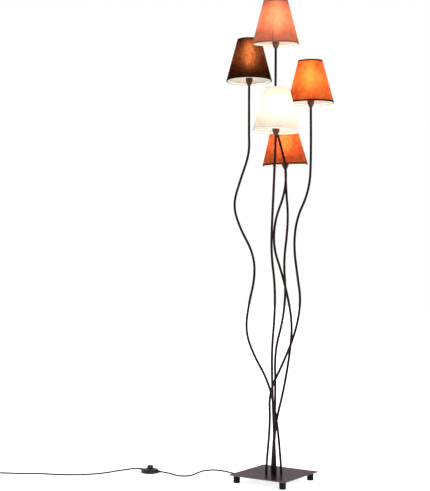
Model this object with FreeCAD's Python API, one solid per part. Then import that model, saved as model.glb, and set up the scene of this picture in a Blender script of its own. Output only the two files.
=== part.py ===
import FreeCAD, Part
import math
import os
from FreeCAD import Placement, Rotation, Vector

os.makedirs("parts", exist_ok=True)

# A floor lamp like a small tree: five bent steel tubes rise from a square steel plate on four
# feet, and each carries an E14 lamp holder with a cone-shaped fabric shade.
# Millimetres. Origin on the floor under the middle of the plate, +Z up, plate edges along X and Y.

# ---- driving dimensions ------------------------------------------------------------------

# base plate, feet and the screws that hold them
PLATE_SIDE = 217.0
PLATE_THICK = 3.0
PLATE_CORNER = 1.5
FOOT_DIA = 22.0
FOOT_HEIGHT = 25.0
FOOT_INSET = 19.5
FOOT_CHAMFER = 1.0
FOOT_RECESS = 14.0
SCREW_DIA = 4.0
SCREW_HEAD_DIA = 7.5
SCREW_HEAD_HEIGHT = 2.6
SCREW_HEAD_EDGE = 0.8
SCREW_HEAD_GAP = 1.0
SCREW_SHANK_GAP = 0.2
SCREW_SOCKET = 2.5
SCREW_TIP_GAP = 0.2
TAP_DEPTH = 2.4
THREAD_GAP = 0.05

# arm tubes, and how each stands in its hole in the plate
TUBE_DIA = 8.0
TUBE_BORE = 6.0
SPIGOT_DIA = 7.2
HOLE_STEP = 18.0
RUNNING_GAP = 0.05
SHOULDER_GAP = 0.2
NUT_GAP = 0.2
NUT_ACROSS_FLATS = 13.0
NUT_THICK = 3.2
SPIGOT_BELOW_NUT = 1.4
STRAIGHT_FOOT = 24.0

# pan under the plate that covers the nuts and the wiring
PAN_LENGTH = 112.0
PAN_WIDTH = 74.0
PAN_DEPTH = 15.5
PAN_WALL = 1.0
PAN_CORNER = 5.0
TAB_WIDTH = 11.0
TAB_LENGTH = 22.0
TAB_CORNER = 3.0
BLOCK_LENGTH = 46.0
BLOCK_WIDTH = 14.0
BLOCK_HEIGHT = 10.0
BLOCK_WALL_GAP = 5.0
TERMINAL_DIA = 3.4
TERMINAL_DEPTH = 3.0
TERMINAL_STEP = 8.0
TERMINAL_FLOOR = 0.5
LEAD_DIA = 2.6
LEAD_IN_TUBE = 8.0
LEAD_STRAIGHT = 8.0

# lamp holder stack, measured along the shade's axis from the plane of its bottom rim
TUBE_BELOW_RIM = 2.0
CUP_BELOW_RIM = 14.0
CUP_ABOVE_RIM = 10.0
CUP_MOUTH_DIA = 24.0
CUP_SHOULDER_DIA = 22.6
CUP_NECK_WALL = 1.6
CUP_WALL = 1.0
CUP_COLLAR = 7.0
HOLDER_LENGTH = 44.0
HOLDER_BARREL_DIA = 27.2
HOLDER_FLANGE_DIA = 31.0
HOLDER_FLANGE_THICK = 2.0
HOLDER_SKIRT = 14.0
HOLDER_WIRE_HOLE = 5.0
HOLDER_FLOOR = 18.0
BULB_CAP_DIA = 14.0
BULB_CAP_LENGTH = 22.0
BULB_CAP_GAP = 0.3
BULB_CONTACT_DIA = 6.0
BULB_CONTACT_HEIGHT = 2.0
BULB_DIA = 35.0
BULB_GLASS_LENGTH = 72.0
BULB_NECK_HEIGHT = 3.0
BULB_BELLY_LOW = 18.0
BULB_BELLY_HIGH = 28.0
BULB_TAPER_DIA = 25.0
BULB_TAPER_HEIGHT = 46.0
BULB_TIP_DIA = 3.0
RING_NUT_DIA = 37.0
RING_NUT_HEIGHT = 6.0
RING_NUT_LIP = 2.0

# shade and its wire frame
SHADE_BOTTOM_DIA = 154.0
SHADE_TOP_DIA = 80.0
SHADE_HEIGHT = 141.0
SHADE_WALL = 0.8
HEM_WIDTH = 4.0
WIRE_DIA = 2.4
FRAME_GAP = 0.2
WASHER_THICK = 1.2
WASHER_RIM = 3.6
WASHER_GAP = 0.3
SPOKES = 3
SPOKE_TURN = 30.0

# Each arm: its hole in the plate as (X, Y) steps of HOLE_STEP, and the corners of its bent
# centre line above the straight foot, as X, Y and the height over the plate. The last is the
# tube's upper end, and the last run points along the shade's axis.
ARMS = {
    "rose": {
        "hole": (0, 0),
        "bends": [
            (3, 2, 157), (27, 17, 272), (45, 27, 392), (53, 32, 492), (42, 24, 582),
            (23, 11, 672), (1, -4, 752), (4, -2, 842), (33, 16, 932), (38, 18, 1012),
            (25, 8, 1082), (9, -10, 1162), (28, -34, 1292), (31, -39, 1419),
        ],
    },
    "black": {
        "hole": (1, 1),
        "bends": [
            (-1, 21, 182), (-29, 14, 302), (-73, -12, 392), (-97, -25, 472), (-88, -18, 562),
            (-71, -5, 652), (-76, -7, 732), (-117, -32, 822), (-136, -42, 897),
            (-114, -28, 982), (-90, -11, 1067), (-92, -11, 1137), (-97, -2, 1310),
        ],
    },
    "white": {
        "hole": (1, -1),
        "bends": [
            (20, -33, 172), (23, -47, 302), (27, -56, 422), (40, -58, 532), (45, -65, 632),
            (39, -79, 732), (46, -86, 832), (57, -91, 962), (58, -81, 1129),
        ],
    },
    "low": {
        "hole": (-1, 1),
        "bends": [
            (-17, 32, 142), (-21, 45, 272), (-27, 49, 402), (-6, 67, 502), (0, 77, 602),
            (-9, 77, 702), (-2, 89, 802), (-2, 94, 872), (-9, 94, 932), (-12, 92, 1029),
        ],
    },
    "right": {
        "hole": (-1, -1),
        "bends": [
            (-1, -20, 172), (-1, -29, 272), (39, -2, 372), (72, 21, 472), (86, 33, 572),
            (74, 28, 662), (62, 24, 762), (70, 32, 852), (100, 54, 932), (108, 62, 1022),
            (105, 62, 1230),
        ],
    },
}

# mains cord, foot switch and plug
CORD_DIA = 5.4
GLAND_DIA = 11.0
GLAND_FLANGE_DIA = 13.0
GLAND_FLANGE = 2.0
GLAND_NUT_THICK = 3.0
GLAND_TIP_DIA = 7.0
GLAND_LENGTH = 28.0
SWITCH_X = -431.0
SWITCH_Y = -115.0
SWITCH_DIA = 64.0
SWITCH_FLOOR = 2.5
SWITCH_EDGE = 3.5
SWITCH_SHOULDER_DIA = 50.0
SWITCH_SHOULDER = 12.0
SWITCH_HEIGHT = 16.0
SWITCH_WALL = 2.0
SWITCH_NECK = 14.0
SWITCH_NECK_DIA = 9.0
SWITCH_NECK_TIP_DIA = 6.6
SWITCH_PORT_Z = 7.5
BUTTON_DIA = 21.0
BUTTON_GAP = 0.4
BUTTON_STANDS = 9.0
BUTTON_LIP = 1.6
BUTTON_LIP_THICK = 1.2
BUTTON_LIP_GAP = 0.2
BUTTON_CHAMFER = 1.5

# The corners of the cord's free stretches on the floor, between the straight runs that leave
# the gland, enter and leave the switch, and enter the coil.
LEAD_BENDS = [
    (-142, 7), (-182, 26), (-226, 40), (-264, 38), (-287, 13), (-288, -24), (-279, -62),
    (-276, -98), (-304, -119), (-336, -108),
]
RUN_BENDS = [
    (-521, -131), (-533, -162), (-541, -206), (-561, -254), (-603, -300), (-655, -334),
    (-716, -352), (-770, -391), (-824, -424),
]
COIL_ENTRY = (-877, -452)
LEAD_FIRST_RUN = 24.0
SWITCH_RUN = 22.0

# coil of spare cord, and the plug beside it
COIL_OUTER_RADIUS = 35.0
COIL_HALF_TURNS_IN = 4
COIL_HALF_TURNS_OUT = 5
COIL_PITCH = 6.1
TIE_THICK = 1.0
TIE_WIDTH = 6.0
TIE_GAP = 0.6
TIE_CORNER = 3.0
TAIL_RUN = 18.0
TAIL_DRIFT = 3.0
PLUG_WIDTH = 35.0
PLUG_THICK = 13.8
PLUG_LENGTH = 36.0
PLUG_BACK_WIDTH = 14.0
PLUG_SHOULDER = 14.0
PLUG_EDGE = 2.0
PLUG_RELIEF_LENGTH = 22.0
PLUG_RELIEF_ROOT = 1.0
PLUG_RELIEF_DIA = 9.0
PLUG_RELIEF_TIP_DIA = 6.4
PIN_DIA = 4.0
PIN_LENGTH = 19.0
PIN_SPACING = 18.6
PIN_CHAMFER = 0.8

# ---- sizes that follow -------------------------------------------------------------------

UP = Vector(0, 0, 1)
PLATE_BOTTOM = FOOT_HEIGHT
PLATE_TOP = PLATE_BOTTOM + PLATE_THICK
SHOULDER_Z = PLATE_TOP + SHOULDER_GAP
NUT_TOP = PLATE_BOTTOM - NUT_GAP
SPIGOT_END = NUT_TOP - NUT_THICK - SPIGOT_BELOW_NUT
PAN_FLOOR = PLATE_BOTTOM - PAN_DEPTH + PAN_WALL
PAN_INSIDE_X = PAN_LENGTH / 2 - PAN_WALL
BLOCK_BACK = -PAN_INSIDE_X + BLOCK_WALL_GAP
BLOCK_FRONT = BLOCK_BACK + BLOCK_WIDTH
LEAD_Z = PAN_FLOOR + TERMINAL_DIA / 2 + TERMINAL_FLOOR
CORD_R = CORD_DIA / 2
GLAND_Z = PLATE_BOTTOM - PAN_DEPTH / 2
GLAND_TIP_X = -PAN_LENGTH / 2 - GLAND_LENGTH
SWITCH_PORT = SWITCH_DIA / 2 + SWITCH_NECK
FITTER_SEAT = CUP_ABOVE_RIM + HOLDER_SKIRT + HOLDER_FLANGE_THICK
FITTER_TOP = FITTER_SEAT + WASHER_THICK
HOLDER_R = HOLDER_BARREL_DIA / 2
BULB_BASE = CUP_ABOVE_RIM + HOLDER_FLOOR
SHADE_SLOPE = (SHADE_BOTTOM_DIA - SHADE_TOP_DIA) / 2 / SHADE_HEIGHT
COIL_Z = TIE_THICK + TIE_GAP + CORD_R
TOP_LAYER_Z = COIL_Z + COIL_PITCH
PLUG_Z = PLUG_THICK / 2


# ---- shapes used more than once ----------------------------------------------------------

def rod(radius, bottom, top, x=0.0, y=0.0):
    """An upright cylinder between two heights."""
    return Part.makeCylinder(radius, top - bottom, Vector(x, y, bottom))


def turned(profile):
    """A solid turned about Z from corners given as (radius, height)."""
    corners = [Vector(r, 0, z) for r, z in profile]
    return Part.Face(Part.makePolygon(corners + corners[:1])).revolve(Vector(), UP, 360)


def box(x0, x1, y0, y1, z0, z1):
    return Part.makeBox(x1 - x0, y1 - y0, z1 - z0, Vector(x0, y0, z0))


def slab(length, width, bottom, top, corner):
    """An upright block, centred on the origin, with rounded corners."""
    block = box(-length / 2, length / 2, -width / 2, width / 2, bottom, top)
    uprights = [e for e in block.Edges if abs(e.tangentAt(e.FirstParameter).z) > 0.9]
    return block.makeFillet(corner, uprights)


def hexagon(across_flats, bottom, height):
    """A six-sided block for a nut or a screw's socket."""
    radius = across_flats / math.sqrt(3)
    corners = [Vector(radius * math.cos(k * math.pi / 3), radius * math.sin(k * math.pi / 3),
                      bottom) for k in range(6)]
    return Part.Face(Part.makePolygon(corners + corners[:1])).extrude(UP * height)


def tangent_arc(before, corner, after, reach):
    """The arc that touches both runs of a corner at this reach from it, and its radius."""
    back, ahead = (before - corner).normalize(), (after - corner).normalize()
    half_turn = (math.pi - back.getAngle(ahead)) / 2
    radius = reach / math.tan(half_turn)
    inwards = (back + ahead).normalize()
    middle = corner + inwards * (radius / math.cos(half_turn) - radius)
    return Part.Arc(corner + back * reach, middle, corner + ahead * reach), radius


def rounded_route(points, share=0.45, straight=0.01):
    """A smooth wire: straight runs joined by tangent arcs. Also gives the arcs' radii."""
    edges, radii, at = [], [], points[0]
    for before, corner, after in zip(points, points[1:], points[2:]):
        if (corner - before).getAngle(after - corner) < straight:
            continue
        reach = share * min((corner - before).Length, (after - corner).Length)
        arc, radius = tangent_arc(before, corner, after, reach)
        edges += [Part.LineSegment(at, arc.StartPoint).toShape(), arc.toShape()]
        radii.append(radius)
        at = arc.EndPoint
    edges.append(Part.LineSegment(at, points[-1]).toShape())
    return Part.Wire(edges), radii


def bar_along(path, radius):
    """A round bar along a wire."""
    first = path.Edges[0]
    outline = Part.makeCircle(radius, first.valueAt(first.FirstParameter),
                              first.tangentAt(first.FirstParameter))
    return path.makePipeShell([Part.Wire([outline])], True, False)


def flat(points, height):
    """Points on a level, from pairs."""
    return [Vector(x, y, height) for x, y in points]


def save(name, *solids):
    """Writes one sub-part, which may be a group of separate solids."""
    if not all(s.isValid() and len(s.Solids) == 1 for s in solids):
        raise ValueError(name + " holds a shape that is not one valid solid")
    shape = Part.makeCompound(solids) if len(solids) > 1 else solids[0]
    shape.exportStep("parts/" + name + ".step")


# ---- base --------------------------------------------------------------------------------

def arm_hole(arm):
    """The middle of an arm's hole in the plate."""
    across, along = ARMS[arm]["hole"]
    return across * HOLE_STEP, along * HOLE_STEP


def foot_centres():
    reach = PLATE_SIDE / 2 - FOOT_INSET
    return [(x * reach, y * reach) for x in (-1, 1) for y in (-1, 1)]


def cover_screw_centres():
    reach = PAN_WIDTH / 2 + TAB_WIDTH / 2
    return [(0.0, -reach), (0.0, reach)]


def base_plate():
    plate = slab(PLATE_SIDE, PLATE_SIDE, PLATE_BOTTOM, PLATE_TOP, PLATE_CORNER)
    for x, y in map(arm_hole, ARMS):
        plate = plate.cut(rod(SPIGOT_DIA / 2 + RUNNING_GAP, PLATE_BOTTOM, PLATE_TOP, x, y))
    for x, y in foot_centres() + cover_screw_centres():
        tap_top = PLATE_BOTTOM + TAP_DEPTH
        plate = plate.cut(rod(SCREW_DIA / 2, PLATE_BOTTOM, tap_top, x, y))
    return plate


def foot(x, y):
    """A turned foot, recessed from below for the head of its screw."""
    outside = FOOT_DIA / 2
    recess = SCREW_HEAD_DIA / 2 + SCREW_HEAD_GAP
    shank = SCREW_DIA / 2 + SCREW_SHANK_GAP
    body = turned([
        (recess, 0), (outside - FOOT_CHAMFER, 0), (outside, FOOT_CHAMFER),
        (outside, FOOT_HEIGHT), (shank, FOOT_HEIGHT), (shank, FOOT_RECESS), (recess, FOOT_RECESS),
    ])
    return body.translated(Vector(x, y, 0))


def screw(x, y, seat):
    """A pan-head screw turned up into the plate, with the top of its head at this height."""
    head, shank = SCREW_HEAD_DIA / 2, SCREW_DIA / 2 - THREAD_GAP
    low, tip = seat - SCREW_HEAD_HEIGHT, PLATE_BOTTOM + TAP_DEPTH - SCREW_TIP_GAP
    body = turned([
        (0, low), (head - SCREW_HEAD_EDGE, low), (head, low + SCREW_HEAD_EDGE), (head, seat),
        (shank, seat), (shank, tip), (0, tip),
    ])
    socket = hexagon(SCREW_SOCKET, low, SCREW_HEAD_HEIGHT / 2)
    return body.cut(socket).translated(Vector(x, y, 0))


def wiring_cover():
    """A folded steel pan under the plate, with a tab for a screw on each long side."""
    low = PLATE_BOTTOM - PAN_DEPTH
    pan = slab(PAN_LENGTH, PAN_WIDTH, low, PLATE_BOTTOM, PAN_CORNER)
    tab_low = PLATE_BOTTOM - PAN_WALL
    tabs = slab(TAB_LENGTH, PAN_WIDTH + 2 * TAB_WIDTH, tab_low, PLATE_BOTTOM, TAB_CORNER)
    inside = slab(PAN_LENGTH - 2 * PAN_WALL, PAN_WIDTH - 2 * PAN_WALL, PAN_FLOOR,
                  PLATE_BOTTOM, PAN_CORNER - PAN_WALL)
    pan = pan.fuse(tabs).cut(inside)
    for x, y in cover_screw_centres():
        pan = pan.cut(rod(SCREW_DIA / 2 + SCREW_SHANK_GAP, tab_low, PLATE_BOTTOM, x, y))
    gland_hole = Part.makeCylinder(GLAND_DIA / 2, 2 * PAN_WALL,
                                   Vector(-PAN_INSIDE_X + PAN_WALL / 2, 0, GLAND_Z),
                                   Vector(-1, 0, 0))
    return pan.cut(gland_hole).removeSplitter()


def cord_gland():
    """The bush that grips the cord in the pan's end wall, with its tapered strain relief."""
    barrel, flange = GLAND_DIA / 2, GLAND_FLANGE_DIA / 2
    tip = PAN_WALL + GLAND_LENGTH
    body = turned([
        (0, -BLOCK_WALL_GAP), (CORD_R, -BLOCK_WALL_GAP), (CORD_R, -GLAND_NUT_THICK),
        (flange, -GLAND_NUT_THICK), (flange, 0), (barrel - THREAD_GAP, 0),
        (barrel - THREAD_GAP, PAN_WALL), (flange, PAN_WALL), (flange, PAN_WALL + GLAND_FLANGE),
        (barrel, PAN_WALL + GLAND_FLANGE), (GLAND_TIP_DIA / 2, tip), (0, tip),
    ])
    body.Placement = Placement(Vector(-PAN_INSIDE_X, 0, GLAND_Z), Rotation(UP, Vector(-1, 0, 0)))
    return body


def terminal_y(arm):
    """Where an arm's lead enters the terminal block: the far arms in the inner places."""
    across, along = ARMS[arm]["hole"]
    return along * TERMINAL_STEP * (1 if across > 0 else 2)


def terminal_block():
    """A strip of terminals, each with a lead hole in front and a screw hole on top."""
    block = box(BLOCK_BACK, BLOCK_FRONT, -BLOCK_LENGTH / 2, BLOCK_LENGTH / 2,
                PAN_FLOOR, PAN_FLOOR + BLOCK_HEIGHT)
    for y in map(terminal_y, ARMS):
        front = Vector(BLOCK_FRONT - TERMINAL_DEPTH, y, LEAD_Z)
        block = block.cut(Part.makeCylinder(TERMINAL_DIA / 2, TERMINAL_DEPTH, front,
                                            Vector(1, 0, 0)))
        block = block.cut(rod(TERMINAL_DIA / 2, PAN_FLOOR + BLOCK_HEIGHT - TERMINAL_DEPTH,
                              PAN_FLOOR + BLOCK_HEIGHT, BLOCK_BACK + BLOCK_WIDTH / 2, y))
    return block


def arm_lead(arm):
    """The wire from an arm's tube down and along the pan's floor to its terminal."""
    x, y = arm_hole(arm)
    end_y = terminal_y(arm)
    corners = [
        Vector(x, y, SPIGOT_END + LEAD_IN_TUBE), Vector(x, y, LEAD_Z),
        Vector(BLOCK_FRONT + LEAD_STRAIGHT, end_y, LEAD_Z),
        Vector(BLOCK_FRONT - TERMINAL_DEPTH, end_y, LEAD_Z),
    ]
    return bar_along(rounded_route(corners)[0], LEAD_DIA / 2)


save("base_plate", base_plate())
save("feet", *[foot(x, y) for x, y in foot_centres()])
save("foot_screws", *[screw(x, y, FOOT_RECESS) for x, y in foot_centres()])
save("wiring_cover", wiring_cover())
save("cover_screws", *[screw(x, y, PLATE_BOTTOM - PAN_WALL) for x, y in cover_screw_centres()])
save("cord_gland", cord_gland())
save("terminal_block", terminal_block())
save("arm_leads", *[arm_lead(arm) for arm in ARMS])


# ---- arms --------------------------------------------------------------------------------

def arm_route(arm):
    """The corners of a tube's centre line, from its shoulder on the plate to its upper end."""
    x, y = arm_hole(arm)
    bends = [Vector(bx, by, PLATE_TOP + height) for bx, by, height in ARMS[arm]["bends"]]
    return [Vector(x, y, SHOULDER_Z), Vector(x, y, PLATE_TOP + STRAIGHT_FOOT)] + bends


def tube(arm):
    """A bent tube with a thinner spigot that goes through the plate."""
    x, y = arm_hole(arm)
    path, radii = rounded_route(arm_route(arm))
    print(arm, "tube: length %.0f, smallest bend radius %.0f" % (path.Length, min(radii)))
    outside = bar_along(path, TUBE_DIA / 2).fuse(rod(SPIGOT_DIA / 2, SPIGOT_END, SHOULDER_Z, x, y))
    bore = bar_along(path, TUBE_BORE / 2).fuse(rod(TUBE_BORE / 2, SPIGOT_END, SHOULDER_Z, x, y))
    return outside.cut(bore).removeSplitter().Solids[0]


def foot_nut(arm):
    """The nut that holds the spigot under the plate."""
    low = NUT_TOP - NUT_THICK
    nut = hexagon(NUT_ACROSS_FLATS, low, NUT_THICK)
    nut = nut.cut(rod(SPIGOT_DIA / 2 + THREAD_GAP, low, NUT_TOP))
    return nut.translated(Vector(*arm_hole(arm), 0))


def on_head(shape, arm):
    """Moves a shape from the shade's own frame, with the rim's plane at 0, to an arm's end."""
    below, end = arm_route(arm)[-2:]
    axis = (end - below).normalize()
    head = Placement(end + axis * TUBE_BELOW_RIM, Rotation(UP, axis))
    shape.Placement = head.multiply(shape.Placement)
    return shape


def socket_cup():
    """The bell-shaped cup that sits on the tube's end and carries the lamp holder."""
    bore = TUBE_DIA / 2 + THREAD_GAP
    neck, shoulder, mouth = bore + CUP_NECK_WALL, CUP_SHOULDER_DIA / 2, CUP_MOUTH_DIA / 2
    collar = -CUP_BELOW_RIM + CUP_COLLAR
    inside = neck + (shoulder - neck) * CUP_COLLAR / CUP_BELOW_RIM - CUP_WALL
    return turned([
        (bore, -CUP_BELOW_RIM), (neck, -CUP_BELOW_RIM), (shoulder, 0), (mouth, CUP_ABOVE_RIM),
        (mouth - CUP_WALL, CUP_ABOVE_RIM), (shoulder - CUP_WALL, 0), (inside, collar),
        (bore, collar),
    ])


def lamp_holder():
    """An E14 holder: skirt, flange that carries the shade, threaded barrel and cap socket."""
    base, top = CUP_ABOVE_RIM, CUP_ABOVE_RIM + HOLDER_LENGTH
    skirt, wire = CUP_MOUTH_DIA / 2, HOLDER_WIRE_HOLE / 2
    flange, socket = HOLDER_FLANGE_DIA / 2, BULB_CAP_DIA / 2 + BULB_CAP_GAP
    flange_low = FITTER_SEAT - HOLDER_FLANGE_THICK
    return turned([
        (wire, base), (skirt, base), (skirt, flange_low), (flange, flange_low),
        (flange, FITTER_SEAT), (HOLDER_R, FITTER_SEAT), (HOLDER_R, top), (socket, top),
        (socket, BULB_BASE), (wire, BULB_BASE),
    ])


def shade_ring():
    """The ring nut that clamps the shade's washer on the holder's flange."""
    bore, lip = HOLDER_R + THREAD_GAP, RING_NUT_DIA / 2
    top = FITTER_TOP + RING_NUT_HEIGHT
    return turned([
        (bore, FITTER_TOP), (lip, FITTER_TOP), (lip, FITTER_TOP + RING_NUT_LIP),
        (lip - RING_NUT_LIP, FITTER_TOP + RING_NUT_LIP), (lip - RING_NUT_LIP, top), (bore, top),
    ])


def wall_inside(height):
    """The radius of the shade's inner face at a height over the rim."""
    return SHADE_BOTTOM_DIA / 2 - SHADE_SLOPE * height - SHADE_WALL * math.hypot(1, SHADE_SLOPE)


def shade():
    """A fabric cone, turned in over the frame's ring at each rim."""
    top_fold = SHADE_HEIGHT - SHADE_WALL
    bottom, top = SHADE_BOTTOM_DIA / 2, SHADE_TOP_DIA / 2
    return turned([
        (bottom - HEM_WIDTH, 0), (bottom, 0), (top, SHADE_HEIGHT), (top - HEM_WIDTH, SHADE_HEIGHT),
        (top - HEM_WIDTH, top_fold), (wall_inside(top_fold), top_fold),
        (wall_inside(SHADE_WALL), SHADE_WALL), (bottom - HEM_WIDTH, SHADE_WALL),
    ])


def hoop(bottom, narrowest):
    """A ring of the frame, just inside the shade's wall at its narrowest height."""
    outside = wall_inside(narrowest) - FRAME_GAP
    ring = turned([(outside - WIRE_DIA, bottom), (outside, bottom),
                   (outside, bottom + WIRE_DIA), (outside - WIRE_DIA, bottom + WIRE_DIA)])
    return ring, outside - WIRE_DIA / 2


def spider():
    """A washer on the holder, the bottom ring, and the wire spokes that join them."""
    hole = HOLDER_R + WASHER_GAP
    rim = hole + WASHER_RIM
    washer = turned([(hole, FITTER_SEAT), (rim, FITTER_SEAT), (rim, FITTER_TOP),
                     (hole, FITTER_TOP)])
    wire = WIRE_DIA / 2
    ring, ring_radius = hoop(SHADE_WALL, SHADE_WALL + WIRE_DIA)
    start = Vector(rim - wire, 0, FITTER_TOP - wire)
    end = Vector(ring_radius, 0, SHADE_WALL + wire)
    spoke = Part.makeCylinder(wire, (end - start).Length, start, end - start)
    reach = math.sqrt((ring_radius - wire) ** 2 - wire ** 2)
    spoke = spoke.common(box(rim, reach, -WIRE_DIA, WIRE_DIA, 0, FITTER_TOP))
    turns = [360 * k / SPOKES + SPOKE_TURN for k in range(SPOKES)]
    return [washer, ring] + [spoke.rotated(Vector(), UP, turn) for turn in turns]


def top_ring():
    low = SHADE_HEIGHT - SHADE_WALL - WIRE_DIA
    return hoop(low, low + WIRE_DIA)[0]


def bulb_cap():
    """The screw cap and its contact, standing on the socket's floor."""
    low = BULB_BASE + BULB_CONTACT_HEIGHT
    contact, cap = BULB_CONTACT_DIA / 2, BULB_CAP_DIA / 2
    return turned([
        (0, BULB_BASE), (contact, BULB_BASE), (cap, low), (cap, low + BULB_CAP_LENGTH),
        (0, low + BULB_CAP_LENGTH),
    ])


def bulb_glass():
    """A candle-shaped bulb: a short neck, a wide belly and a long taper to the tip."""
    low = BULB_BASE + BULB_CONTACT_HEIGHT + BULB_CAP_LENGTH
    neck, belly, tip = BULB_CAP_DIA / 2, BULB_DIA / 2, BULB_TIP_DIA / 2
    return turned([
        (0, low), (neck, low), (neck, low + BULB_NECK_HEIGHT), (belly, low + BULB_BELLY_LOW),
        (belly, low + BULB_BELLY_HIGH), (BULB_TAPER_DIA / 2, low + BULB_TAPER_HEIGHT),
        (tip, low + BULB_GLASS_LENGTH), (0, low + BULB_GLASS_LENGTH),
    ])


for arm in ARMS:
    save("tube_" + arm, tube(arm))
    save("foot_nut_" + arm, foot_nut(arm))
    save("socket_cup_" + arm, on_head(socket_cup(), arm))
    save("lamp_holder_" + arm, on_head(lamp_holder(), arm))
    save("shade_ring_" + arm, on_head(shade_ring(), arm))
    save("shade_frame_" + arm, *[on_head(piece, arm) for piece in spider() + [top_ring()]])
    save("shade_" + arm, on_head(shade(), arm))
    save("bulb_" + arm, on_head(bulb_cap(), arm), on_head(bulb_glass(), arm))


# ---- cord, foot switch and plug ----------------------------------------------------------

def cord(name, path, radii):
    """The cord along a wire, with its length, volume and radii printed."""
    solid = bar_along(path, CORD_R)
    share = solid.Volume / (math.pi * CORD_R ** 2 * path.Length)
    print(name, "length %.0f, volume over section times length %.4f, radii" % (path.Length, share),
          [round(r) for r in radii])
    return solid


def lead_points():
    """From the gland, straight out and down to the floor, and into the switch's right side."""
    start = Vector(GLAND_TIP_X, 0, GLAND_Z)
    port = Vector(SWITCH_X + SWITCH_PORT, SWITCH_Y, SWITCH_PORT_Z)
    return ([start, start - Vector(LEAD_FIRST_RUN, 0, 0)] + flat(LEAD_BENDS, CORD_R)
            + [port + Vector(SWITCH_RUN, 0, 0), port])


def run_points():
    """From the switch's left side over the floor and, at the end, up a little to the coil."""
    port = Vector(SWITCH_X - SWITCH_PORT, SWITCH_Y, SWITCH_PORT_Z)
    return ([port, port - Vector(SWITCH_RUN, 0, 0)] + flat(RUN_BENDS[:-1], CORD_R)
            + flat([RUN_BENDS[-1], COIL_ENTRY], COIL_Z))


def coil_frame():
    """The coil's own frame: its middle, the way to its start, and the way the cord comes in."""
    last, entry = run_points()[-2:]
    forward = (entry - last).normalize()
    outward = Vector(forward.y, -forward.x, 0)
    middle = entry + forward * CORD_DIA - outward * COIL_OUTER_RADIUS
    return Vector(middle.x, middle.y, 0), outward, forward


def coil_stations():
    """The radius and height at each half turn: inwards on the floor, up a layer, and outwards."""
    step = COIL_PITCH / 2
    inwards = [(COIL_OUTER_RADIUS - k * step, COIL_Z) for k in range(COIL_HALF_TURNS_IN + 1)]
    smallest = inwards[-1][0] - step
    outwards = [(smallest, TOP_LAYER_Z)]
    outwards += [(smallest + (k + 1) * step, TOP_LAYER_Z)
                 for k in range(1, COIL_HALF_TURNS_OUT + 1)]
    return inwards + outwards


def half_turn(start, start_way, end, end_way):
    """Two tangent arcs of a quarter turn each, from one side of the coil to the other."""
    reach = (end - start).Length / 2
    first, second = start + start_way * reach, end - end_way * reach
    halfway = (first + second) / 2
    half_reach = (second - first).Length / 2
    return [tangent_arc(start, first, halfway, half_reach),
            tangent_arc(halfway, second, end, half_reach)]


def coil_path():
    """The coil's wire with straight ends, its arcs' radii, and where and which way it ends."""
    middle, outward, forward = coil_frame()
    places = []
    for k, (radius, height) in enumerate(coil_stations()):
        side = 1 if k % 2 == 0 else -1
        places.append((middle + outward * (side * radius) + UP * height, forward * side))
    arcs = []
    for (start, way), (end, end_way) in zip(places, places[1:]):
        arcs += half_turn(start, way, end, end_way)
    start, way = places[0]
    edges = [Part.LineSegment(start - way * CORD_DIA, start)] + [arc for arc, radius in arcs]
    end, way = places[-1]
    edges.append(Part.LineSegment(end, end + way * CORD_DIA))
    wire = Part.Wire([edge.toShape() for edge in edges])
    return wire, [radius for arc, radius in arcs], end + way * CORD_DIA, way


def cord_tie():
    """A strap round all the turns, on the side of the coil away from its start."""
    middle, outward, forward = coil_frame()
    stations = coil_stations()[1::2]
    room = CORD_R + TIE_GAP
    inner = min(radius for radius, height in stations) - room
    outer = max(radius for radius, height in stations) + room
    top = TOP_LAYER_Z + room + TIE_THICK
    strap = slab(outer - inner + 2 * TIE_THICK, top, 0, TIE_WIDTH, TIE_CORNER)
    hole = slab(outer - inner, top - 2 * TIE_THICK, 0, TIE_WIDTH, TIE_CORNER - TIE_THICK)
    ring = strap.cut(hole)
    place = middle - outward * ((inner + outer) / 2) - forward * (TIE_WIDTH / 2)
    ring.Placement = Placement(place + UP * (top / 2), Rotation(outward, UP, forward, "ZXY"))
    return ring


def least_gap(path):
    """The least gap of a coiled cord to itself, from points along its middle line."""
    step = CORD_R / 2
    points = path.discretize(Distance=step)
    apart = int(3 * CORD_DIA / step)
    return min((a - b).Length for i, a in enumerate(points)
               for b in points[i + apart:]) - CORD_DIA


def tail_points():
    """From the end of the coil's top layer down to the plug's middle height."""
    start, way = coil_path()[2:]
    aside = Vector(-way.y, way.x, 0) * TAIL_DRIFT
    down = UP * (PLUG_Z - start.z)
    return [start, start + way * TAIL_RUN, start + way * (2 * TAIL_RUN) + aside + down,
            start + way * (3 * TAIL_RUN) + aside * 3 + down]


def plug_places():
    """Puts a plug's shape, made with its pins up, on the floor at the end of the cord's tail."""
    before, end = tail_points()[-2:]
    way = (end - before).normalize()
    turn = Rotation(Vector(-way.y, way.x, 0), UP, way, "ZXY")
    return Placement(end + way * PLUG_RELIEF_LENGTH, turn)


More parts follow.
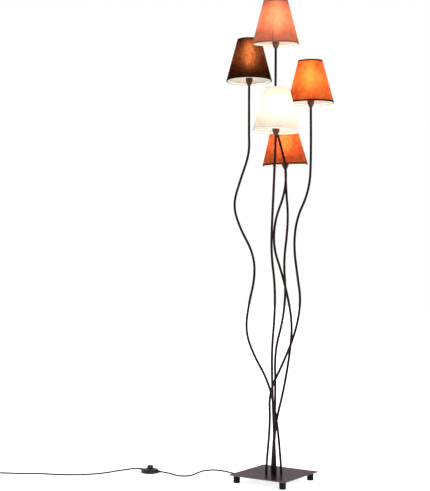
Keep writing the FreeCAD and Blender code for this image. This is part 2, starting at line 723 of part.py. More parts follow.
def plug_body():
    """A flat two-pin plug with sloped shoulders and a tapered strain relief."""
    back, side, half = PLUG_BACK_WIDTH / 2, PLUG_WIDTH / 2, PLUG_THICK / 2
    outline = [(-back, 0), (back, 0), (side, PLUG_SHOULDER), (side, PLUG_LENGTH),
               (-side, PLUG_LENGTH), (-side, PLUG_SHOULDER)]
    corners = [Vector(x, -half, z) for x, z in outline]
    block = Part.Face(Part.makePolygon(corners + corners[:1])).extrude(Vector(0, PLUG_THICK, 0))
    long_edges = [e for e in block.Edges if abs(e.tangentAt(e.FirstParameter).y) < 0.1
                  and e.CenterOfMass.z < PLUG_LENGTH - PLUG_EDGE]
    block = block.makeFillet(PLUG_EDGE, long_edges)
    relief = Part.makeCone(PLUG_RELIEF_TIP_DIA / 2, PLUG_RELIEF_DIA / 2,
                           PLUG_RELIEF_LENGTH + PLUG_RELIEF_ROOT,
                           Vector(0, 0, -PLUG_RELIEF_LENGTH))
    return block.fuse(relief).removeSplitter().Solids[0]


def plug_pin(x):
    r, tip = PIN_DIA / 2, PLUG_LENGTH + PIN_LENGTH
    pin = turned([(0, PLUG_LENGTH), (r, PLUG_LENGTH), (r, tip - PIN_CHAMFER),
                  (r - PIN_CHAMFER, tip), (0, tip)])
    return pin.translated(Vector(x, 0, 0))


def at_plug(shape):
    shape.Placement = plug_places().multiply(shape.Placement)
    return shape


def at_switch(shape):
    return shape.translated(Vector(SWITCH_X, SWITCH_Y, 0))


def switch_base():
    return rod(SWITCH_DIA / 2, 0, SWITCH_FLOOR)


def cover_underside(radius):
    """The height of the cover's inner face, at a radius between its hole and its shoulder."""
    hole, shoulder = BUTTON_DIA / 2 + BUTTON_GAP, (SWITCH_SHOULDER_DIA - SWITCH_WALL) / 2
    fall = (SWITCH_HEIGHT - SWITCH_SHOULDER) * (radius - hole) / (shoulder - hole)
    return SWITCH_HEIGHT - SWITCH_WALL - fall


def switch_cover():
    """A shallow dome over the contacts, with a neck for the cord on each side."""
    outside, hole = SWITCH_DIA / 2, BUTTON_DIA / 2 + BUTTON_GAP
    shoulder, edge = SWITCH_SHOULDER_DIA / 2, SWITCH_FLOOR + SWITCH_EDGE
    root = shoulder - SWITCH_WALL / 2
    cover = turned([
        (outside, SWITCH_FLOOR), (outside, edge), (shoulder, SWITCH_SHOULDER),
        (hole, SWITCH_HEIGHT), (hole, cover_underside(hole)), (root, cover_underside(root)),
        (outside - SWITCH_WALL, edge - SWITCH_WALL / 2), (outside - SWITCH_WALL, SWITCH_FLOOR),
    ])
    for way in (1, -1):
        neck = Part.makeCone(SWITCH_NECK_DIA / 2, SWITCH_NECK_TIP_DIA / 2, SWITCH_PORT - root,
                             Vector(way * root, 0, SWITCH_PORT_Z), Vector(way, 0, 0))
        cover = cover.fuse(neck)
    return cover.removeSplitter().Solids[0]


def switch_button():
    """The round foot button, kept in by a lip under the cover's top."""
    r, top = BUTTON_DIA / 2, SWITCH_HEIGHT + BUTTON_STANDS
    lip_top = cover_underside(r + BUTTON_LIP) - BUTTON_LIP_GAP
    lip_low = lip_top - BUTTON_LIP_THICK
    return turned([
        (0, lip_low), (r + BUTTON_LIP, lip_low), (r + BUTTON_LIP, lip_top), (r, lip_top),
        (r, top - BUTTON_CHAMFER), (r - BUTTON_CHAMFER, top), (0, top),
    ])


save("cord_lead", cord("cord_lead", *rounded_route(lead_points())))
save("switch_base", at_switch(switch_base()))
save("switch_cover", at_switch(switch_cover()))
save("switch_button", at_switch(switch_button()))
save("cord_run", cord("cord_run", *rounded_route(run_points())))
save("cord_coil", cord("cord_coil", *coil_path()[:2]))
save("cord_tie", cord_tie())
save("cord_tail", cord("cord_tail", *rounded_route(tail_points())))
save("plug_body", at_plug(plug_body()))
save("plug_pins", *[at_plug(plug_pin(x)) for x in (-PIN_SPACING / 2, PIN_SPACING / 2)])
print("coil: least gap to itself %.2f" % least_gap(coil_path()[0]))
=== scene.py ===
# %% [markdown]
# # A floor lamp like a small tree
#
# Five bent steel tubes rise from a square plate, and each carries a lit fabric shade of its own
# colour. The solids come packed from CAD as a fixed frame in metres. A piece made here takes the
# sizes and places that its solid has, and stands in for it. This script gives each part its
# finish, makes the cloth, the tubes, the bulbs and the cord, and sets a plain studio around them.

# %% Load the frame
import math

import bmesh
import bpy
from mathutils import Matrix, Vector


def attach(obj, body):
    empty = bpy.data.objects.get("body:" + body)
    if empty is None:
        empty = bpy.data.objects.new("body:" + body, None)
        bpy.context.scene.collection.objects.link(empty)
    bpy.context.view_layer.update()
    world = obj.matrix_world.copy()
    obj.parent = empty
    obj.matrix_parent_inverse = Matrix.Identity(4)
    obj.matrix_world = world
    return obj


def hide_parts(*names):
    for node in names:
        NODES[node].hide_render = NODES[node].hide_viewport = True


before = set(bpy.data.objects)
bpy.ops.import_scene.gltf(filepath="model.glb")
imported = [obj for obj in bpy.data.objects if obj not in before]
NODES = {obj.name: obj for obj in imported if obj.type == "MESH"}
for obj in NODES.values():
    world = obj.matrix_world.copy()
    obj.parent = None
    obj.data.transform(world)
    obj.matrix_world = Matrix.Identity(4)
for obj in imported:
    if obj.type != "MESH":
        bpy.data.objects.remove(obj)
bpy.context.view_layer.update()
ARMS = ("rose", "black", "white", "low", "right")
MM = 0.001

# %% [markdown]
# ## Camera
#
# The picture was taken from a little above the middle of the lamp, with a long lens and from
# about four metres away, 35 degrees round from the plate's front edge. A camera can be aimed
# with a constraint, but a plain rotation from the three angles is easier to read, and nothing
# else has to exist for it.

# %% The camera
CAMERA_PLACE = Vector((2.153, -3.461, 0.841))
CAMERA_TURN = math.radians(34.64)
CAMERA_DIP = math.radians(0.756)
CAMERA_LENS = 89.66

camera = bpy.data.objects.new("camera", bpy.data.cameras.new("camera"))
bpy.context.scene.collection.objects.link(camera)
camera.data.lens = CAMERA_LENS
camera.location = CAMERA_PLACE
camera.rotation_euler = (math.pi / 2 - CAMERA_DIP, 0, CAMERA_TURN)
bpy.context.scene.camera = camera

# %% [markdown]
# ## The cord
#
# A mains cord is stiff enough to lie in long curves and heavy enough to stay on the floor. One
# smooth spline through a few chosen points gives that line. The first stretch runs from the
# strain relief under the plate to the foot switch, the second on from the switch to the plug.
# The length that nobody needs is wound into a flat coil, inwards on the floor and outwards on
# top of it, so both ends come out at the rim.

# %% The cord's sizes and routes
CORD_DIA = 5.4 * MM
CORD_R = CORD_DIA / 2
GLAND_TIP = Vector((-84, 0, 17.25)) * MM
SWITCH_MIDDLE = Vector((-431, -115, 0)) * MM
SWITCH_PORT = Vector((46, 0, 7.5)) * MM
FIRST_RUN = Vector((24, 0, 0)) * MM
PORT_RUN = Vector((22, 0, 0)) * MM
LEAD_BENDS = [
    (-142, 7), (-182, 26), (-226, 40), (-264, 38), (-287, 13), (-288, -24), (-279, -62),
    (-276, -98), (-304, -119), (-336, -108),
]
RUN_BENDS = [
    (-521, -131), (-533, -162), (-541, -206), (-561, -254), (-603, -300), (-655, -334),
    (-716, -352), (-770, -391),
]
COIL_WAY_IN = [(-824, -424), (-877, -452)]
COIL_Z = 4.3 * MM
COIL_PITCH = 6.1 * MM
COIL_OUTER = 35 * MM
HALF_TURNS_IN = 4
HALF_TURNS_OUT = 5
POINTS_PER_HALF_TURN = 8
TAIL_RUN = 18 * MM
TAIL_DRIFT = 3 * MM
PLUG_Z = 6.9 * MM


def on_floor(points, height=CORD_R):
    """Route points on one level, from pairs in millimetres."""
    return [Vector((x * MM, y * MM, height)) for x, y in points]


left_port = SWITCH_MIDDLE + Vector((-SWITCH_PORT.x, 0, SWITCH_PORT.z))
right_port = SWITCH_MIDDLE + SWITCH_PORT
lead_points = [GLAND_TIP, GLAND_TIP - FIRST_RUN, *on_floor(LEAD_BENDS),
               right_port + PORT_RUN, right_port]
run_points = [left_port, left_port - PORT_RUN, *on_floor(RUN_BENDS),
              *on_floor(COIL_WAY_IN, COIL_Z)]

# %% The coil's turns, by formula
coil_forward = (run_points[-1] - run_points[-2]).normalized()
coil_outward = Vector((coil_forward.y, -coil_forward.x, 0))
coil_middle = run_points[-1] + coil_forward * CORD_DIA - coil_outward * COIL_OUTER
coil_middle.z = 0


def coil_stations():
    """The radius and height at each half turn of the coil."""
    step = COIL_PITCH / 2
    inwards = [(COIL_OUTER - k * step, COIL_Z) for k in range(HALF_TURNS_IN + 1)]
    smallest = inwards[-1][0] - step
    top = COIL_Z + COIL_PITCH
    outwards = [(smallest + (k + 1) * step, top) for k in range(1, HALF_TURNS_OUT + 1)]
    return inwards + [(smallest, top)] + outwards


def coil_turns():
    """Points round the coil. A spline cuts inside its points, so they stand a little wide."""
    wide = 1 / math.cos(math.pi / 2 / POINTS_PER_HALF_TURN)
    stations = coil_stations()
    points = []
    for k, (start, end) in enumerate(zip(stations, stations[1:])):
        for j in range(POINTS_PER_HALF_TURN):
            share = j / POINTS_PER_HALF_TURN
            angle = math.pi * (k + share)
            radius = (start[0] + (end[0] - start[0]) * share) * wide
            eased = (1 - math.cos(math.pi * share)) / 2
            height = start[1] + (end[1] - start[1]) * eased
            arm = coil_outward * math.cos(angle) + coil_forward * math.sin(angle)
            points.append(coil_middle + arm * radius + Vector((0, 0, height)))
    return points


def tail_points():
    """From the top of the coil, off its rim and down to the plug."""
    half_turns = HALF_TURNS_IN + 1 + HALF_TURNS_OUT
    side = 1 if half_turns % 2 == 0 else -1
    radius, height = coil_stations()[-1]
    way = coil_forward * side
    rim = coil_middle + coil_outward * side * radius + Vector((0, 0, height))
    start = rim + way * CORD_DIA
    aside = Vector((-way.y, way.x, 0)) * TAIL_DRIFT
    down = Vector((0, 0, PLUG_Z - start.z))
    return [rim, start, start + way * TAIL_RUN, start + way * 2 * TAIL_RUN + aside + down,
            start + way * 3 * TAIL_RUN + aside * 3 + down]


mains_points = run_points + coil_turns() + tail_points()
print("points on the two cords:", len(lead_points), len(mains_points))

# %% A cord from its points


def round_bar(name, points, radius, body, steps=6):
    """A round bar or cord along one smooth spline. Its radius is kept in the points, because
    the curve's box is grown by that number."""
    curve = bpy.data.curves.new(name, "CURVE")
    curve.dimensions = "3D"
    curve.bevel_depth = 1.0
    curve.bevel_resolution = 5
    curve.resolution_u = steps
    curve.use_fill_caps = True
    spline = curve.splines.new("NURBS")
    spline.points.add(len(points) - 1)
    for point, place in zip(spline.points, points):
        point.co = (*place, 1)
        point.radius = radius
    spline.order_u = 3
    spline.use_endpoint_u = True
    bar = bpy.data.objects.new(name, curve)
    bpy.context.scene.collection.objects.link(bar)
    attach(bar, body)
    return bar


lead = round_bar("lead_cord", lead_points, CORD_R, "base")
mains = round_bar("mains_cord", mains_points, CORD_R, "base")
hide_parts("cord_lead")
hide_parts("cord_run", "cord_coil", "cord_tail")

# %% [markdown]
# ## Finishes
#
# Every finish here is made from nodes, so it has no picture behind it and holds at any distance.
# Wiring nodes by hand is long to read. A small class wraps a socket, so that shader maths is
# written as a sum, and one method makes any other node.

# %% A socket that takes part in sums


class Link:
    """An output socket. A sum on it adds the Math nodes that work it out."""

    def __init__(self, finish, socket):
        self.finish = finish
        self.socket = socket

    def maths(self, operation, *values):
        inputs = dict(enumerate(values))
        return self.finish.node("Math", {"operation": operation}, inputs)

    def __add__(self, other):
        return self.maths("ADD", self, other)

    def __mul__(self, other):
        return self.maths("MULTIPLY", self, other)

    def sine(self):
        return self.maths("SINE", self)

    def between(self, low, high):
        """0 below low, 1 above high, and a smooth step in between."""
        inputs = {"Value": self, "From Min": low, "From Max": high}
        settings = {"interpolation_type": "SMOOTHSTEP"}
        return self.finish.node("MapRange", settings, inputs)

# %% A finish and its nodes


class Finish:
    """A material, with one method that makes its nodes."""

    def __init__(self, name):
        self.material = bpy.data.materials.new(name)
        self.material.use_nodes = True
        self.tree = self.material.node_tree
        self.tree.nodes.clear()

    def node(self, kind, settings=None, inputs=None, output=0):
        """Adds a node, sets it, feeds its inputs and gives one of its outputs, if it has any."""
        made = self.tree.nodes.new("ShaderNode" + kind)
        for name, value in (settings or {}).items():
            setattr(made, name, value)
        for name, value in (inputs or {}).items():
            if isinstance(value, Link):
                self.tree.links.new(value.socket, made.inputs[name])
            else:
                made.inputs[name].default_value = value
        return Link(self, made.outputs[output]) if made.outputs else None

    def surface(self, shader):
        self.node("OutputMaterial", inputs={"Surface": shader})
        return self.material

    def place(self):
        return self.node("TexCoord", output="Object")

    def noise(self, size, detail=3.0, roughness=0.5, where=None):
        """A noise whose patches are about this size, in metres."""
        inputs = {"Vector": where or self.place(), "Scale": 1 / size, "Detail": detail,
                  "Roughness": roughness}
        return self.node("TexNoise", inputs=inputs)

    def mix(self, share, first, second):
        """A colour between two, by a share from 0 to 1."""
        inputs = {"Factor": share, 6: first, 7: second}
        return self.node("Mix", {"data_type": "RGBA"}, inputs, output=2)

    def bump(self, height, depth):
        return self.node("Bump", inputs={"Height": height, "Distance": depth, "Strength": 1.0})

    def blend(self, share, first, second):
        """One shader over another, by a share."""
        return self.node("MixShader", inputs={0: share, 1: first, 2: second})


def colour(red, green, blue):
    """A colour from the 0 to 255 values that a screen shows."""
    steps = [value / 255 for value in (red, green, blue)]
    return tuple(s / 12.92 if s <= 0.04045 else ((s + 0.055) / 1.055) ** 2.4
                 for s in steps) + (1.0,)

# %% [markdown]
# ### Paint, plastic and metal
#
# Powder paint has a fine orange-peel skin and a tone that wanders a little. Moulded plastic has a
# finer grain. Both come from one recipe: two colours mixed by a broad noise, a fine noise for
# the skin, and a roughness that varies between two values.

# %% The recipe for a coated or moulded surface


def coated(name, dark, light, roughness, patch, grain, depth, metallic=0.0, shine=0.5,
           edge=(1.0, 1.0, 1.0, 1.0)):
    """A finish of two close colours, with a skin of fine grain. Edge tints grazing light."""
    finish = Finish(name)
    broad = finish.noise(patch).between(0.35, 0.65)
    fine = finish.noise(grain, detail=2.0)
    smooth, rough = roughness
    inputs = {
        "Base Color": finish.mix(broad, dark, light),
        "Roughness": broad * (rough - smooth) * 0.5 + fine * (rough - smooth) * 0.5 + smooth,
        "Metallic": metallic, "Specular IOR Level": shine, "Specular Tint": edge,
        "Normal": finish.bump(fine, depth),
    }
    return finish.surface(finish.node("BsdfPrincipled", inputs=inputs))


DARK_EDGE = (0.30, 0.25, 0.25, 1.0)
plate_paint = coated("plate_paint", colour(76, 66, 69), colour(96, 86, 89), (0.24, 0.32),
                     60 * MM, 0.5 * MM, 0.01 * MM, metallic=1.0, edge=(0.50, 0.46, 0.48, 1.0))
tube_paint = coated("tube_paint", colour(25, 17, 17), colour(38, 26, 26), (0.30, 0.42),
                    30 * MM, 0.5 * MM, 0.015 * MM, metallic=0.5, shine=0.1, edge=DARK_EDGE)
cup_paint = coated("cup_paint", colour(64, 43, 35), colour(86, 58, 48), (0.34, 0.46),
                   20 * MM, 0.4 * MM, 0.015 * MM, metallic=0.5, shine=0.2, edge=DARK_EDGE)
cover_paint = coated("cover_paint", colour(30, 29, 29), colour(40, 38, 38), (0.40, 0.55),
                     30 * MM, 0.5 * MM, 0.02 * MM, shine=0.3)
foot_plastic = coated("foot_plastic", colour(7, 7, 8), colour(12, 12, 13), (0.50, 0.65),
                      12 * MM, 0.25 * MM, 0.01 * MM, shine=0.1)
cord_rubber = coated("cord_rubber", colour(16, 16, 17), colour(25, 25, 26), (0.40, 0.55),
                     20 * MM, 0.3 * MM, 0.01 * MM, shine=0.2)
cord_fittings = coated("cord_fittings", colour(14, 14, 16), colour(22, 22, 24), (0.32, 0.50),
                       15 * MM, 0.2 * MM, 0.01 * MM, shine=0.25)
button_plastic = coated("button_plastic", colour(18, 18, 20), colour(27, 27, 30), (0.25, 0.38),
                        12 * MM, 0.2 * MM, 0.008 * MM, shine=0.25)
holder_plastic = coated("holder_plastic", colour(205, 198, 184), colour(222, 216, 204),
                        (0.25, 0.35), 12 * MM, 0.3 * MM, 0.005 * MM)
terminal_plastic = coated("terminal_plastic", colour(196, 194, 186), colour(212, 210, 203),
                          (0.35, 0.5), 10 * MM, 0.3 * MM, 0.01 * MM)
lead_insulation = coated("lead_insulation", colour(150, 142, 132), colour(164, 157, 148),
                         (0.4, 0.5), 10 * MM, 0.3 * MM, 0.01 * MM)
frame_paint = coated("frame_paint", colour(226, 223, 215), colour(238, 236, 230), (0.3, 0.4),
                     10 * MM, 0.3 * MM, 0.01 * MM)
screw_steel = coated("screw_steel", colour(150, 150, 152), colour(182, 181, 178), (0.25, 0.4),
                     6 * MM, 0.2 * MM, 0.01 * MM, metallic=1.0)
pin_metal = coated("pin_metal", colour(176, 172, 162), colour(205, 202, 194), (0.18, 0.3),
                   6 * MM, 0.3 * MM, 0.004 * MM, metallic=1.0)
print("finishes so far:", len(bpy.data.materials))

# %% [markdown]
# ## Shades
#
# Each shade is a cone of cloth, glued to a wire ring at each rim, with a narrow tape folded over
# the edge and one lap joint down its height. A cone primitive would have no wall and no joint, so
# each piece is a small section spun about the shade's axis. The axis comes from the last run of
# its tube. The section is drawn upright first, because cloth needs its own coordinates: round the
# shade and up it, in metres. These go into a UV map before the piece is tilted into place.

# %% Where each shade stands
PLATE_TOP = 28 * MM
RIM_ABOVE_TUBE = 2 * MM
TUBE_ENDS = {
    "rose": ((28, -34, 1292), (31, -39, 1419)),
    "black": ((-92, -11, 1137), (-97, -2, 1310)),
    "white": ((57, -91, 962), (58, -81, 1129)),
    "low": ((-9, 94, 932), (-12, 92, 1029)),
    "right": ((108, 62, 1022), (105, 62, 1230)),
}
UP = Vector((0, 0, 1))


def head_frame(arm):
    """The matrix from a shade's own frame, with its rim at height 0, to the lamp's."""
    below, end = (Vector(point) * MM + UP * PLATE_TOP for point in TUBE_ENDS[arm])
    axis = (end - below).normalized()
    turn = UP.rotation_difference(axis).to_matrix().to_4x4()
    return Matrix.Translation(end + axis * RIM_ABOVE_TUBE) @ turn


HEADS = {arm: head_frame(arm) for arm in ARMS}
print("rim heights:", {arm: round(HEADS[arm].translation.z, 3) for arm in ARMS})

# %% [markdown]
# ### Bent tubes
#
# The tubes are bent by hand over a former, so their curves run into each other without a flat
# spot. The CAD tubes are straight runs joined by arcs, cut into facets, and a long highlight
# breaks up on facets. A spline through the same corners follows the same line and stays smooth.
# It starts just above the plate and ends in the cup, a little under the plane of the rim.

# %% The tubes' corners over the plate, in millimetres
HOLE_STEP = 18
STRAIGHT_FOOT = 24
TUBE_R = 4 * MM
SPIGOT_R = 3.6 * MM
TUBE_LOW = 28.2 * MM
SPIGOT_END = 20.2 * MM
HOLES = {"rose": (0, 0), "black": (1, 1), "white": (1, -1), "low": (-1, 1), "right": (-1, -1)}
TUBE_BENDS = {
    "rose": [
        (3, 2, 157), (27, 17, 272), (45, 27, 392), (53, 32, 492), (42, 24, 582),
        (23, 11, 672), (1, -4, 752), (4, -2, 842), (33, 16, 932), (38, 18, 1012),
        (25, 8, 1082), (9, -10, 1162),
    ],
    "black": [
        (-1, 21, 182), (-29, 14, 302), (-73, -12, 392), (-97, -25, 472), (-88, -18, 562),
        (-71, -5, 652), (-76, -7, 732), (-117, -32, 822), (-136, -42, 897),
        (-114, -28, 982), (-90, -11, 1067),
    ],
    "white": [
        (20, -33, 172), (23, -47, 302), (27, -56, 422), (40, -58, 532), (45, -65, 632),
        (39, -79, 732), (46, -86, 832),
    ],
    "low": [
        (-17, 32, 142), (-21, 45, 272), (-27, 49, 402), (-6, 67, 502), (0, 77, 602),
        (-9, 77, 702), (-2, 89, 802), (-2, 94, 872),
    ],
    "right": [
        (-1, -20, 172), (-1, -29, 272), (39, -2, 372), (72, 21, 472), (86, 33, 572),
        (74, 28, 662), (62, 24, 762), (70, 32, 852), (100, 54, 932),
    ],
}


def tube_points(arm):
    """The corners of a tube, from just above the plate to its end in the cup."""
    x, y = (step * HOLE_STEP * MM for step in HOLES[arm])
    corners = TUBE_BENDS[arm] + list(TUBE_ENDS[arm])
    foot = [Vector((x, y, TUBE_LOW)), Vector((x, y, PLATE_TOP + STRAIGHT_FOOT * MM))]
    return foot + [Vector(corner) * MM + UP * PLATE_TOP for corner in corners]


tubes = {arm: round_bar("bent_tube_" + arm, tube_points(arm), TUBE_R, "arm_" + arm,
                        steps=12) for arm in ARMS}
print("tubes made:", len(tubes))

# %% A section spun round an axis


def spun(section, steps=96, closed=True):
    """A bmesh turned about Z from (radius, height) pairs in metres."""
    mesh = bmesh.new()
    corners = [mesh.verts.new((radius, 0, height)) for radius, height in section]
    pairs = list(zip(corners, corners[1:]))
    if closed:
        pairs.append((corners[-1], corners[0]))
    for first, second in pairs:
        mesh.edges.new((first, second))
    bmesh.ops.spin(mesh, geom=mesh.verts[:] + mesh.edges[:], cent=(0, 0, 0), axis=(0, 0, 1),
                   angle=math.tau, steps=steps, use_merge=True)
    bmesh.ops.remove_doubles(mesh, verts=mesh.verts, dist=0.00001)
    bmesh.ops.recalc_face_normals(mesh, faces=mesh.faces)
    return mesh


def cloth_map(mesh, radius):
    """A UV map in metres: round the shade at this radius, and up its height."""
    layer = mesh.loops.layers.uv.new("cloth")
    for face in mesh.faces:
        centre = face.calc_center_median()
        middle = math.atan2(centre.y, centre.x)
        for loop in face.loops:
            place = loop.vert.co
            turn = math.atan2(place.y, place.x) - middle
            turn = (turn + math.pi) % math.tau - math.pi
            loop[layer].uv = ((middle + turn) * radius, place.z)


def piece(name, mesh, body, materials, smooth=True, place=None):
    """A bmesh made into an object that moves with a body, with its place in its mesh."""
    if place is not None:
        bmesh.ops.transform(mesh, matrix=place, verts=mesh.verts)
    for face in mesh.faces:
        face.smooth = smooth
    data = bpy.data.meshes.new(name)
    mesh.to_mesh(data)
    mesh.free()
    for material in materials:
        data.materials.append(material)
    made = bpy.data.objects.new(name, data)
    bpy.context.scene.collection.objects.link(made)
    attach(made, body)
    return made

# %% The shade's sizes, in its own frame
SHADE_RIM_R = 77 * MM
SHADE_TOP_R = 40 * MM
SHADE_HEIGHT = 141 * MM
CLOTH_THICK = 0.8 * MM
CLOTH_R = (SHADE_RIM_R + SHADE_TOP_R) / 2
CONE_SLOPE = (SHADE_RIM_R - SHADE_TOP_R) / SHADE_HEIGHT
TAPE_WIDTH = 5 * MM
TAPE_PROUD = 0.35 * MM
TAPE_TURN_IN = 3.2 * MM


def wall_r(height):
    """The radius of the cloth's outer face at a height over the rim."""
    return SHADE_RIM_R - CONE_SLOPE * height


def cone_wall():
    """The cloth as a thin closed shell. The lining faces take the second material."""
    inset = CLOTH_THICK * math.hypot(1, CONE_SLOPE)
    section = [(wall_r(0), 0), (wall_r(SHADE_HEIGHT), SHADE_HEIGHT),
               (wall_r(SHADE_HEIGHT) - inset, SHADE_HEIGHT), (wall_r(0) - inset, 0)]
    mesh = spun(section)
    mesh.normal_update()
    for face in mesh.faces:
        inwards = face.normal.dot(face.calc_center_median() * Vector((1, 1, 0))) < 0
        face.material_index = 1 if inwards else 0
    cloth_map(mesh, CLOTH_R)
    return mesh


def rim_tape(low, high, turn_in_at):
    """A tape over a rim: up the outside a little proud of the cloth, and turned in over it."""
    back = TAPE_TURN_IN
    outer = [(wall_r(low) + TAPE_PROUD, low), (wall_r(high) + TAPE_PROUD, high)]
    if turn_in_at == low:
        inner = [(wall_r(high), high), (wall_r(low) - CLOTH_THICK, low + TAPE_PROUD),
                 (wall_r(low) - back, low + TAPE_PROUD), (wall_r(low) - back, low)]
    else:
        inner = [(wall_r(high) - back, high), (wall_r(high) - back, high - TAPE_PROUD),
                 (wall_r(high) - CLOTH_THICK, high - TAPE_PROUD), (wall_r(low), low)]
    mesh = spun(outer + inner)
    cloth_map(mesh, CLOTH_R)
    return mesh

# %% [markdown]
# ### Lit cloth
#
# The bulbs are on, so the colour of a shade is mostly light that comes through it. Thin cloth
# passes light in two ways. Most is scattered in the threads and leaves in every direction, which
# a Translucent shader gives. Some goes nearly straight on between them, so that the bulb shows
# as a soft bright patch that stays in front of it from any side. Rough refraction gives that.
# The cloth's colour is uneven on three scales: a weave, longer slubs along its threads, and
# broad cloudy patches.

# %% The recipe for lit cloth
THREAD = 0.9 * MM
SLUB = 2.2 * MM
SLUB_STRETCH = 14
CLOUD = 16 * MM
SLUB_SHARE, CLOUD_SHARE, WEAVE_SHARE = 0.3, 0.7, 0.05
SKIN_DEPTH = 0.12 * MM


def lit_cloth(name, dark, light, straight_through, scattered=0.5, blur=0.62, cloud=CLOUD):
    """Woven cloth between two colours, with its share of light that goes straight on."""
    finish = Finish(name)
    threads = finish.node("UVMap", {"uv_map": "cloth"})
    pitch = math.tau / THREAD
    split = finish.node("SeparateXYZ", inputs={"Vector": threads})
    up = Link(finish, split.socket.node.outputs["Y"])
    weave = (split * pitch).sine() * (up * pitch).sine()
    along = finish.node("Mapping", inputs={"Vector": threads, "Scale": (SLUB_STRETCH, 1, 1)})
    slubs = finish.noise(SLUB * SLUB_STRETCH, detail=2.0, where=along)
    clouds = finish.noise(cloud, detail=4.0, roughness=0.6)
    tone = slubs * SLUB_SHARE + clouds * CLOUD_SHARE + weave * WEAVE_SHARE
    dyed = finish.mix(tone.between(0.2, 0.8), dark, light)
    skin = finish.bump(weave * 0.5 + slubs, SKIN_DEPTH)
    surface = finish.node("BsdfPrincipled", inputs={
        "Base Color": dyed, "Roughness": 0.9, "Specular IOR Level": 0.1, "Normal": skin})
    through = finish.node("BsdfTranslucent", inputs={"Color": dyed})
    straight = finish.node("BsdfRefraction", inputs={
        "Color": dyed, "Roughness": blur, "IOR": 1.45})
    passed = finish.blend(straight_through, through, straight)
    return finish.surface(finish.blend(scattered, surface, passed))


CLOTH = {
    "rose": lit_cloth("rose_cloth", colour(182, 96, 74), colour(206, 126, 92), 0.3),
    "black": lit_cloth("black_cloth", colour(10, 5, 4), colour(96, 51, 26), 0.97,
                       scattered=0.92, blur=0.56, cloud=6 * MM),
    "white": lit_cloth("white_cloth", colour(236, 220, 204), colour(245, 235, 223), 0.15),
    "low": lit_cloth("low_cloth", colour(170, 54, 20), colour(208, 104, 52), 0.45),
    "right": lit_cloth("right_cloth", colour(194, 70, 24), colour(226, 120, 54), 0.45),
}
LINING = lit_cloth("lining", colour(248, 245, 238), colour(254, 252, 247), 0.7, blur=0.6)
# Tape colours: partly the tapes' own colour, partly painted shade. Cloth doubled over the rims
# lets less light through, and that darkness is painted into these colours. The lap joints take
# them too.
TAPE_AND_SHADE_TONES = {
    "rose": (colour(112, 66, 60), colour(140, 86, 78)),
    "black": (colour(13, 8, 7), colour(22, 14, 12)),
    "white": (colour(202, 192, 178), colour(220, 211, 198)),
    "low": (colour(60, 20, 16), colour(82, 30, 24)),
    "right": (colour(34, 10, 14), colour(52, 16, 20)),
}
TAPE_AND_SHADE = {arm: coated(arm + "_tape", dark, light, (0.8, 0.95), 4 * MM, 0.7 * MM, 0.1 * MM,
                    shine=0.05) for arm, (dark, light) in TAPE_AND_SHADE_TONES.items()}
CLOTH_SLOTS = {"rose": "rose_fabric", "black": "black_fabric", "white": "white_fabric",
               "low": "orange_fabric", "right": "orange_fabric"}

# %% The lap joint
LAP_TURN = math.radians(2.0)
LAP_PROUD = 0.3 * MM
LAP_AZIMUTHS = {"rose": -67, "black": 118, "white": 124, "low": 120, "right": 122}


def lap_joint(azimuth):
    """A narrow strip where the ends of the cloth lie over each other."""
    low, high = TAPE_WIDTH, SHADE_HEIGHT - TAPE_WIDTH
    mesh = bmesh.new()
    section = [(wall_r(low), low), (wall_r(high), high), (wall_r(high) + LAP_PROUD, high),
               (wall_r(low) + LAP_PROUD, low)]
    corners = [mesh.verts.new((radius, 0, height)) for radius, height in section]
    face = mesh.faces.new(corners)
    bmesh.ops.rotate(mesh, verts=mesh.verts, cent=(0, 0, 0),
                     matrix=Matrix.Rotation(math.radians(azimuth), 3, "Z"))
    bmesh.ops.spin(mesh, geom=[face] + face.edges[:] + face.verts[:], cent=(0, 0, 0),
                   axis=(0, 0, 1), angle=LAP_TURN, steps=2)
    bmesh.ops.remove_doubles(mesh, verts=mesh.verts, dist=0.00001)
    bmesh.ops.recalc_face_normals(mesh, faces=mesh.faces)
    cloth_map(mesh, CLOTH_R)
    return mesh

# %% The shades in place
top_low = SHADE_HEIGHT - TAPE_WIDTH
for arm in ARMS:
    body, record_slot = "arm_" + arm, CLOTH_SLOTS[arm]
    wall = piece("shade_cloth_" + arm, cone_wall(), body, [CLOTH[arm], LINING],
                 place=HEADS[arm])
    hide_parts("shade_" + arm)
    # The lap joint is the shade's own cloth, doubled. Its darker tape colour is painted shade,
    # for the doubled cloth letting less light through.
    piece("lap_joint_" + arm, lap_joint(LAP_AZIMUTHS[arm]), body, [TAPE_AND_SHADE[arm]],
          smooth=False, place=HEADS[arm])
    # The rim tapes' darker colours are partly painted shade of the doubled cloth.
    piece("rim_tape_" + arm, rim_tape(0, TAPE_WIDTH, 0), body, [TAPE_AND_SHADE[arm]],
          place=HEADS[arm])
    piece("top_tape_" + arm, rim_tape(top_low, SHADE_HEIGHT, SHADE_HEIGHT), body,
          [TAPE_AND_SHADE[arm]], place=HEADS[arm])
print("shades made:", len(ARMS))

# %% [markdown]
# ### Bulbs
#
# The bulbs are opal candle bulbs in the small screw size. The CAD glass is a stack of cones, so
# its steps would show against the light. A smooth outline worked out by a formula at many
# heights, spun about the axis, gives the same form without them. An opal bulb looks the same
# brightness all over, so its glass is a plain glowing surface.

# %% The bulbs
BULB_CAP_LOW = 30 * MM
BULB_GLASS_LOW = 52 * MM
BULB_TIP = 124 * MM
BULB_BELLY = 17.5 * MM
CAP_R = 7 * MM
GLASS_ROWS = 22
BELLY_LOW = 0.72
BELLY_FULL = 0.9
NECK_SHARE = 0.2
EDGE_BREAK = 0.4 * MM


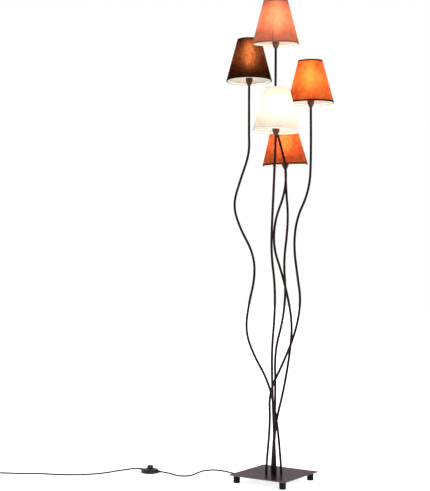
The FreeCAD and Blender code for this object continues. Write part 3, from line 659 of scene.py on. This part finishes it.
def bulb_section():
    """The outline of the glass: a neck, a belly and a long taper to a blunt tip."""
    section = [(0, BULB_CAP_LOW), (CAP_R - 0.6 * MM, BULB_CAP_LOW), (CAP_R, BULB_GLASS_LOW)]
    for k in range(GLASS_ROWS + 1):
        share = k / GLASS_ROWS
        height = BULB_GLASS_LOW + (BULB_TIP - BULB_GLASS_LOW) * share
        swell = math.sin(math.pi * share ** BELLY_LOW) ** BELLY_FULL if share < 1 else 0
        neck = CAP_R * (1 - share) if share < NECK_SHARE else 0
        radius = max(BULB_BELLY * swell, neck)
        section.append((radius, height))
    return section


def glowing(name, warm, strength):
    """Opal glass with the lamp on."""
    finish = Finish(name)
    frost = finish.noise(3 * MM)
    inputs = {"Base Color": finish.mix(frost, colour(244, 238, 226), colour(250, 246, 238)),
              "Roughness": frost * 0.1 + 0.2, "Emission Color": warm,
              "Emission Strength": strength}
    return finish.surface(finish.node("BsdfPrincipled", inputs=inputs))


opal_glass = glowing("opal_glass", colour(255, 237, 210), 54.0)
for arm in ARMS:
    x, y = (step * HOLE_STEP * MM for step in HOLES[arm])
    shank = [(0, SPIGOT_END), (SPIGOT_R - EDGE_BREAK, SPIGOT_END),
             (SPIGOT_R, SPIGOT_END + EDGE_BREAK), (SPIGOT_R, TUBE_LOW), (0, TUBE_LOW)]
    spigot = piece("spigot_" + arm, spun(shank, steps=24, closed=False), "arm_" + arm,
                   [screw_steel], place=Matrix.Translation((x, y, 0)))
    tubes[arm].data.materials.append(tube_paint)
    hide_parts("tube_" + arm)
    bulb = piece("candle_bulb_" + arm, spun(bulb_section(), steps=40, closed=False),
                 "arm_" + arm, [opal_glass], place=HEADS[arm])
    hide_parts("bulb_" + arm)
print("bulbs made:", len(ARMS))

# %% [markdown]
# ## Finishes on the CAD parts
#
# The rest of the lamp keeps its CAD shape. Each node gets the finish that its kind of part has,
# by the first part of its name.

# %% Dress the nodes
NODE_FINISHES = {
    "base_plate": plate_paint, "feet": foot_plastic, "foot_screws": screw_steel,
    "foot_nut": screw_steel, "wiring_cover": cover_paint, "cover_screws": screw_steel,
    "cord_gland": cord_fittings, "terminal_block": terminal_plastic,
    "arm_leads": lead_insulation, "tube": tube_paint, "socket_cup": cup_paint,
    "lamp_holder": holder_plastic, "shade_ring": holder_plastic, "shade_frame": frame_paint,
    "switch_base": cord_fittings, "switch_cover": cord_fittings,
    "switch_button": button_plastic, "cord_tie": cord_fittings, "plug_body": cord_fittings,
    "plug_pins": pin_metal,
}
dressed = 0
for node, thing in NODES.items():
    kinds = [kind for kind in NODE_FINISHES if node.startswith(kind)]
    if kinds:
        for place in thing.material_slots:
            place.material = NODE_FINISHES[kinds[0]]
        dressed += 1
for strand in (lead, mains):
    strand.data.materials.append(cord_rubber)
print("nodes dressed:", dressed)

# %% [markdown]
# ## Studio
#
# The lamp stands in a plain white room. A world of plain white gives the background, the
# reflections and most of the light, and one soft lamp gives the light a side. The floor has to be
# as white as the background and still keep a shadow, so it glows a little over its pale colour.

# %% Floor and world
FLOOR_HALF = 8.0
FLOOR_GLOW = 0.8
WORLD_STRENGTH = 1.0

floor_mesh = bmesh.new()
bmesh.ops.create_grid(floor_mesh, x_segments=1, y_segments=1, size=FLOOR_HALF)
floor_data = bpy.data.meshes.new("floor")
floor_mesh.to_mesh(floor_data)
floor_mesh.free()
floor = bpy.data.objects.new("floor", floor_data)
bpy.context.scene.collection.objects.link(floor)
ground = Finish("white_floor")
floor_skin = ground.node("BsdfPrincipled", inputs={
    "Base Color": colour(245, 245, 245), "Roughness": 0.8})
floor_light = ground.node("Emission", inputs={"Color": (1, 1, 1, 1), "Strength": FLOOR_GLOW})
floor_data.materials.append(ground.surface(
    ground.node("AddShader", inputs={0: floor_skin, 1: floor_light})))

world =bpy.data.worlds.new("studio")
bpy.context.scene.world = world
world.use_nodes = True
world_tree = world.node_tree
world_tree.nodes["Background"].inputs["Color"].default_value = (1, 1, 1, 1)
world_tree.nodes["Background"].inputs["Strength"].default_value = WORLD_STRENGTH


def soft_light(name, place, aim, size, power):
    """A square area lamp aimed at a point."""
    lamp = bpy.data.lights.new(name, "AREA")
    lamp.size = size
    lamp.energy = power
    holder = bpy.data.objects.new(name, lamp)
    bpy.context.scene.collection.objects.link(holder)
    holder.location = place
    direction = Vector(aim) - Vector(place)
    holder.rotation_euler = direction.to_track_quat("-Z", "Y").to_euler()
    return holder


soft_light("key", (2.6, -1.6, 2.4), (0, 0, 0.7), 1.6, 45)

bpy.context.scene.view_settings.view_transform = "Standard"
